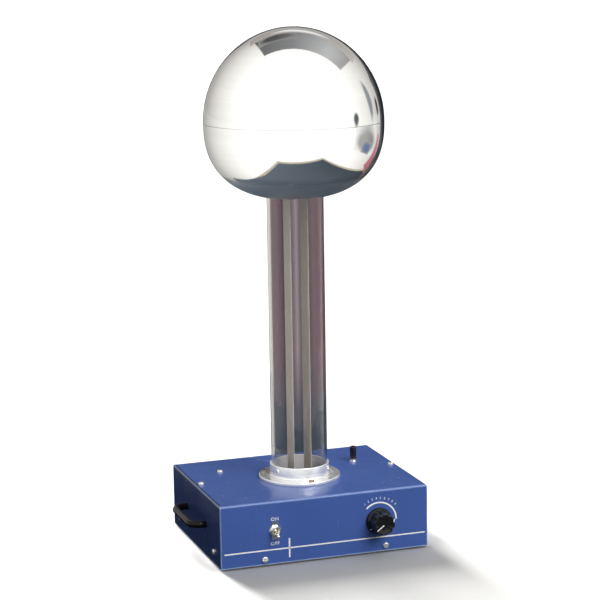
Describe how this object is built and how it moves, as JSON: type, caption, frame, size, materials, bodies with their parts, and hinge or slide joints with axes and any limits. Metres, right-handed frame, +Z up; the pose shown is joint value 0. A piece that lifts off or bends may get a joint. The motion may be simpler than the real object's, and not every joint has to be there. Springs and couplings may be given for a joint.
{
  "type": "van de graaff generator",
  "caption": "Bench-top Van de Graaff generator: sheet-metal housing with motor, switch and speed knob, clear belt tower and a polished metal dome that opens at its seam.",
  "frame": {"origin": "on the bench, under the tower's axis", "axes": "+Z up along the tower, +Y to the back, +X to the right seen from the front with the switch and knob"},
  "size_m": [0.356, 0.267, 0.7318],
  "materials": {
    "blue_paint": "gloss",
    "dark_steel": "satin",
    "zinc_screws": "satin",
    "black_rubber": "matt",
    "aluminium": "satin",
    "black_handle": "gloss",
    "switch_metal": "satin",
    "nickel_plate": "polished",
    "black_plastic": "gloss",
    "white_inlay": "satin",
    "steel": "bright",
    "dark_plastic": "satin",
    "cast_aluminium": "polished cast",
    "clear_acrylic": "clear, slightly smoked",
    "roller_plastic": "satin",
    "bronze": "satin",
    "belt_rubber": "matt",
    "brass_sheet": "bright",
    "motor_steel": "satin",
    "copper_winding": "varnished",
    "polished_dome": "mirror polished",
    "wire_black": "satin",
    "wire_white": "satin",
    "wire_green": "satin"
  },
  "bodies": {
    "generator": {"base_tray": "dark_steel", "bearing_block": "aluminium", "bracket_screws": "zinc_screws", "charging_belt": "belt_rubber", "chassis_cover": "blue_paint", "clamp_screws": "nickel_plate", "collar_nuts": "zinc_screws", "collar_screws": "nickel_plate", "comb_bracket": "zinc_screws", "control_nuts": "nickel_plate", "control_wire": "wire_black", "dome_lower": "polished_dome", "dome_seam_ring": "aluminium", "dome_support": "dark_plastic", "foot_screws": "zinc_screws", "ground_wire": "wire_green", "handle_screws": "zinc_screws", "inlet_pins": "nickel_plate", "inlet_screws": "zinc_screws", "inner_pillars": "aluminium", "left_handle": "black_handle", "lower_comb": "brass_sheet", "motor_bracket": "zinc_screws", "motor_can": "motor_steel", "motor_end_bell": "cast_aluminium", "motor_screws": "zinc_screws", "motor_wires": "wire_white", "pillar_screws": "zinc_screws", "power_inlet": "dark_plastic", "right_handle": "black_handle", "roller_yoke": "aluminium", "rubber_feet": "black_rubber", "shaft_bush": "bronze", "speed_control": "dark_plastic", "support_screws": "steel", "switch_body": "switch_metal", "switch_nuts": "nickel_plate", "switch_plate": "nickel_plate", "switch_wire": "wire_black", "terminal_nuts": "nickel_plate", "terminal_post": "nickel_plate", "tower_collar": "cast_aluminium", "tower_tube": "clear_acrylic", "tray_screws": "zinc_screws", "upper_axle": "steel", "upper_comb": "brass_sheet", "yoke_screws": "zinc_screws"},
    "drive": {"drive_shaft": "steel", "lower_roller": "roller_plastic", "motor_armature": "copper_winding"},
    "idler": {"upper_roller": "aluminium", "upper_bushings": "bronze"},
    "knob": {"speed_knob": "black_plastic", "knob_pointer": "white_inlay", "knob_shaft": "steel"},
    "toggle": {"switch_lever": "nickel_plate"},
    "terminal_head": {"terminal_cap": "black_plastic"},
    "dome_top": {"dome_upper": "polished_dome"}
  },
  "joints": [
    {"name": "motor_spin", "type": "hinge", "parent": "generator", "child": "drive", "pos_m": [0, 0, 0.048], "axis": [0, 1, 0], "continuous": true},
    {"name": "upper_roller_spin", "type": "hinge", "parent": "generator", "child": "idler", "pos_m": [0, 0, 0.586], "axis": [0, 1, 0], "continuous": true},
    {"name": "speed_knob_turn", "type": "hinge", "parent": "generator", "child": "knob", "pos_m": [0.0788, -0.12, 0.0477], "axis": [0, 1, 0], "range_deg": [-12, 258]},
    {"name": "power_switch_flip", "type": "hinge", "parent": "generator", "child": "toggle", "pos_m": [-0.0739, -0.111, 0.0507], "axis": [-1, 0, 0], "range_deg": [0, 36]},
    {"name": "terminal_cap_unscrew", "type": "slide", "parent": "generator", "child": "terminal_head", "axis": [0, 0, 1], "range_m": [0, 0.006]},
    {"name": "dome_lift", "type": "slide", "parent": "generator", "child": "dome_top", "axis": [0, 0, 1], "range_m": [0, 0.18]}
  ],
  "couplings": [
    {"joint": "upper_roller_spin", "follows": "motor_spin", "ratio": 1}
  ]
}
